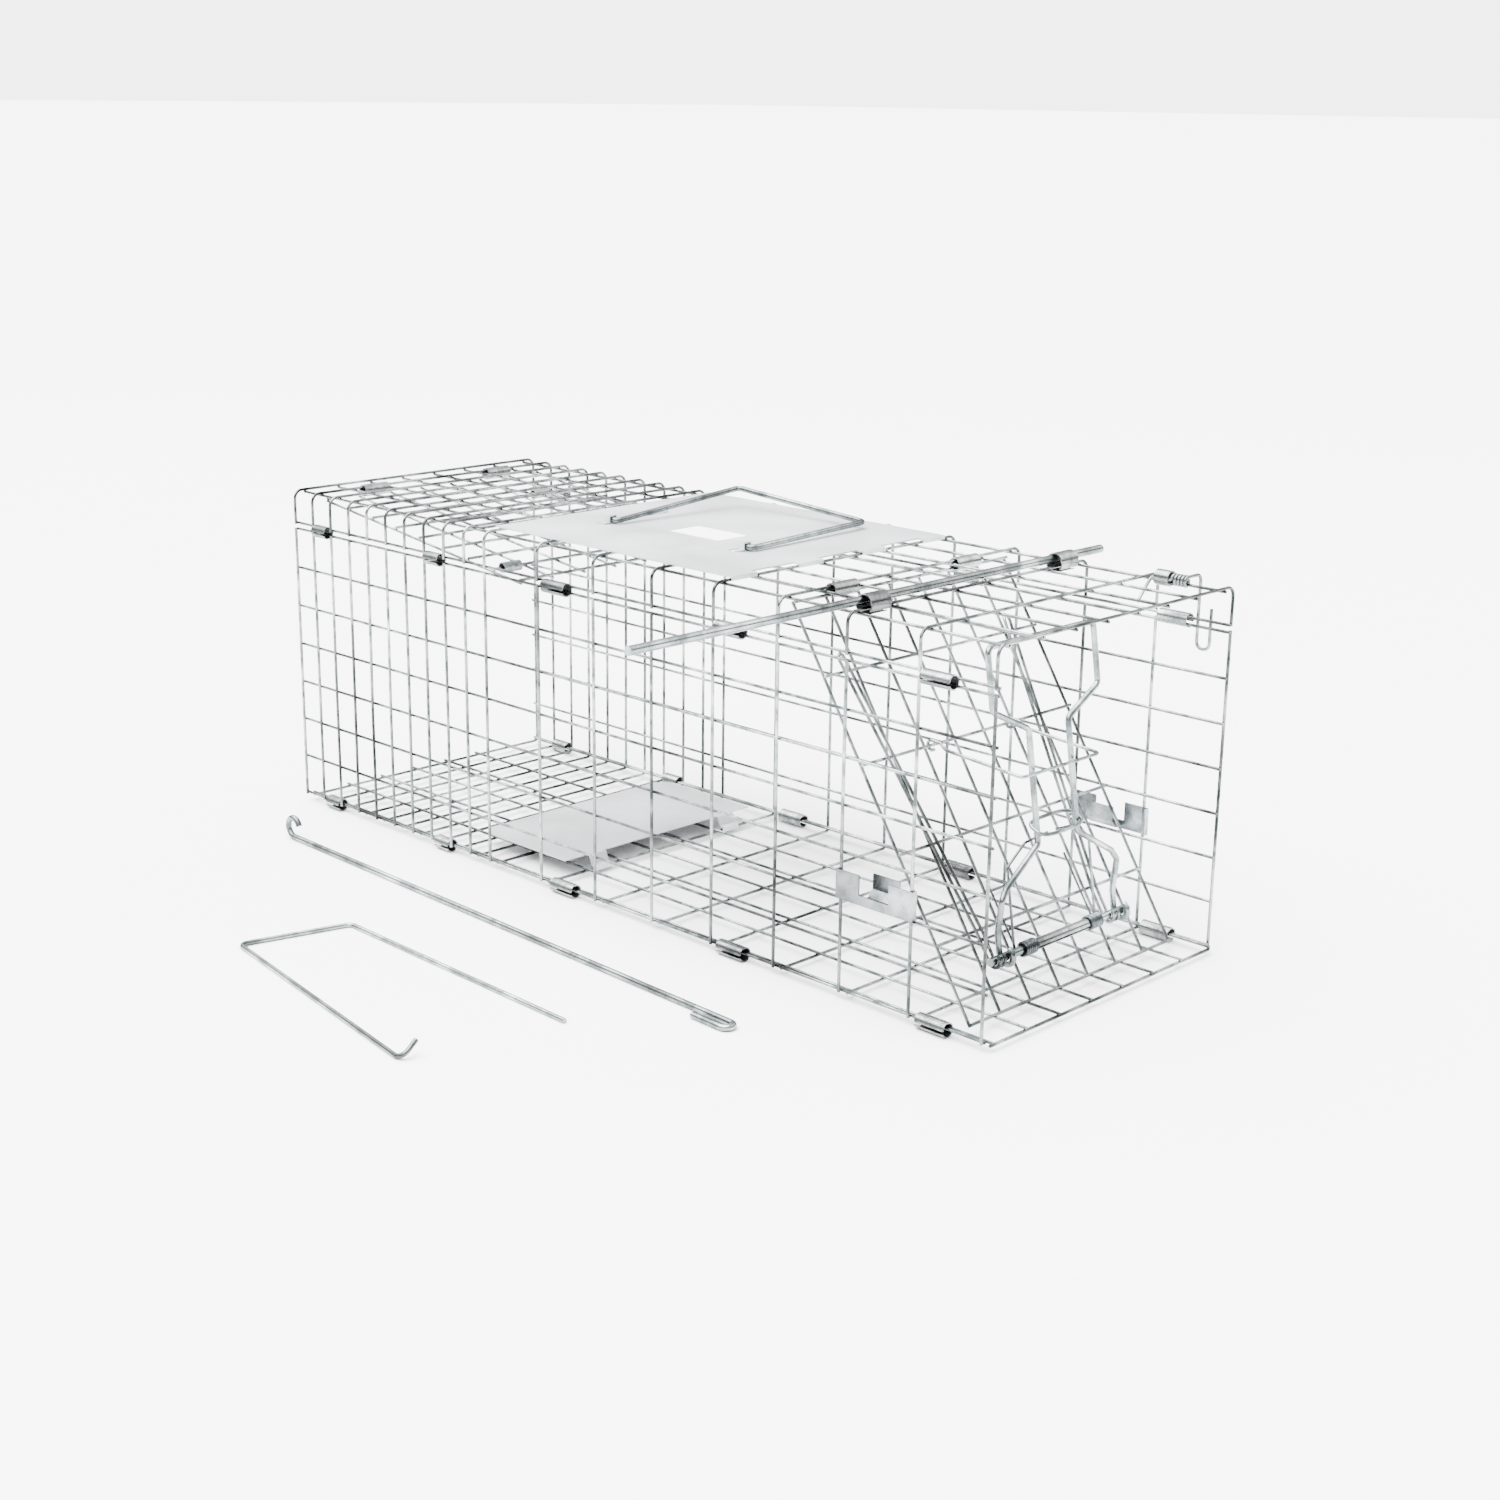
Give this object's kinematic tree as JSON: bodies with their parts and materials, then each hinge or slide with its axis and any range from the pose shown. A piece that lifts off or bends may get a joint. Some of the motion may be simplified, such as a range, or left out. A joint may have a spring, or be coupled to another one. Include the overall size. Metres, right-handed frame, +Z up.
{
  "type": "live catch trap",
  "caption": "Collapsible wire mesh live animal trap with sloping drop door, lock bar, rear door, treadle, carrying handle and loose rods.",
  "frame": {"origin": "centre of the footprint of the cage and the two loose rods, at floor level", "axes": "+X along the cage towards the front door, +Z up, +Y away from the side where the loose rods lie"},
  "size_m": [0.605, 0.4486, 0.232],
  "materials": {
    "wire": "bright zinc plated wire",
    "rod": "bright zinc plated rod",
    "sleeve": "zinc plated crimped sleeve",
    "sheet": "satin galvanised sheet",
    "spring": "zinc plated spring wire"
  },
  "bodies": {
    "cage": {"floor_panel": "wire", "side_panel_near": "wire", "side_panel_far": "wire", "top_panel": "wire", "top_skirt_near": "wire", "top_skirt_far": "wire", "floor_sleeve_near_1": "sleeve", "floor_sleeve_near_2": "sleeve", "floor_sleeve_near_3": "sleeve", "floor_sleeve_near_4": "sleeve", "floor_sleeve_near_5": "sleeve", "floor_sleeve_far_1": "sleeve", "floor_sleeve_far_2": "sleeve", "floor_sleeve_far_3": "sleeve", "floor_sleeve_far_4": "sleeve", "floor_sleeve_far_5": "sleeve", "top_sleeve_near_1": "sleeve", "top_sleeve_near_2": "sleeve", "top_sleeve_near_3": "sleeve", "top_sleeve_near_4": "sleeve", "top_sleeve_near_5": "sleeve", "top_sleeve_far_1": "sleeve", "top_sleeve_far_2": "sleeve", "top_sleeve_far_3": "sleeve", "top_sleeve_far_4": "sleeve", "top_sleeve_far_5": "sleeve", "door_sleeve_near": "sleeve", "door_sleeve_far": "sleeve", "rear_sleeve_near": "sleeve", "rear_sleeve_far": "sleeve", "set_rod_clip_near": "sleeve", "set_rod_clip_far": "sleeve", "latch_sleeve": "sleeve", "guard_plate": "sheet", "handle_lug_rear": "sheet", "handle_lug_front": "sheet", "side_catch_near": "sheet", "side_catch_far": "sheet"},
    "front_door": {"front_door": "wire", "door_rod": "rod", "door_rod_spacer": "sleeve", "hairpin_arm_near": "wire", "hairpin_arm_far": "wire", "lock_spring_near": "spring", "lock_spring_far": "spring"},
    "lock_bar": {"lock_bar": "rod", "neck_link": "sheet", "lock_spring_leg_near": "spring", "lock_spring_leg_far": "spring"},
    "guide_loop": {"guide_loop": "wire"},
    "rear_door": {"rear_door": "wire", "rear_row_sleeve_near": "sleeve", "rear_row_sleeve_far": "sleeve"},
    "carry_handle": {"carry_handle": "rod"},
    "set_rod": {"set_rod": "rod"},
    "door_latch": {"door_latch": "rod"},
    "treadle": {"treadle": "sheet"},
    "trigger_rod": {"trigger_rod": "rod"},
    "rear_locking_rod": {"rear_locking_rod": "rod"}
  },
  "joints": [
    {"name": "front_door_hinge", "type": "hinge", "parent": "cage", "child": "front_door", "pos_m": [0.1485, 0.10328, 0.21237], "axis": [0, -1, 0], "range_deg": [0, 44]},
    {"name": "lock_bar_pivot", "type": "hinge", "parent": "front_door", "child": "lock_bar", "pos_m": [0.2723, 0.10328, 0.03222], "axis": [0, -1, 0], "range_deg": [0, 24.5]},
    {"name": "guide_loop_pivot", "type": "hinge", "parent": "front_door", "child": "guide_loop", "pos_m": [0.20063, 0.10328, 0.13171], "axis": [0, -1, 0], "range_deg": [-43.3, 0]},
    {"name": "rear_door_hinge", "type": "hinge", "parent": "cage", "child": "rear_door", "pos_m": [-0.2815, 0.10328, 0.21237], "axis": [0, 1, 0], "range_deg": [0, 83]},
    {"name": "handle_hinge", "type": "hinge", "parent": "cage", "child": "carry_handle", "pos_m": [-0.0015, 0.07028, 0.22107], "axis": [1, 0, 0], "range_deg": [0, 110]},
    {"name": "set_rod_slide", "type": "slide", "parent": "cage", "child": "set_rod", "axis": [0, 1, 0], "range_m": [-0.02, 0.15]},
    {"name": "latch_pivot", "type": "hinge", "parent": "cage", "child": "door_latch", "pos_m": [0.265, 0.19848, 0.21677], "axis": [1, 0, 0], "range_deg": [0, 50], "stiffness_Nm_per_rad": 0.02, "springref_deg": -28.65},
    {"name": "treadle_hinge", "type": "hinge", "parent": "cage", "child": "treadle", "pos_m": [-0.0485, 0.10328, 0.00357], "axis": [0, -1, 0], "range_deg": [0, 2]},
    {"name": "trigger_rod_lift", "type": "slide", "parent": "cage", "child": "trigger_rod", "axis": [0, 0, 1], "range_m": [0, 0.15]},
    {"name": "rear_rod_lift", "type": "slide", "parent": "cage", "child": "rear_locking_rod", "axis": [0, 0, 1], "range_m": [0, 0.15]}
  ],
  "couplings": [
    {"joint": "lock_bar_pivot", "follows": "front_door_hinge", "ratio": 0.554},
    {"joint": "guide_loop_pivot", "follows": "front_door_hinge", "ratio": -0.982}
  ]
}
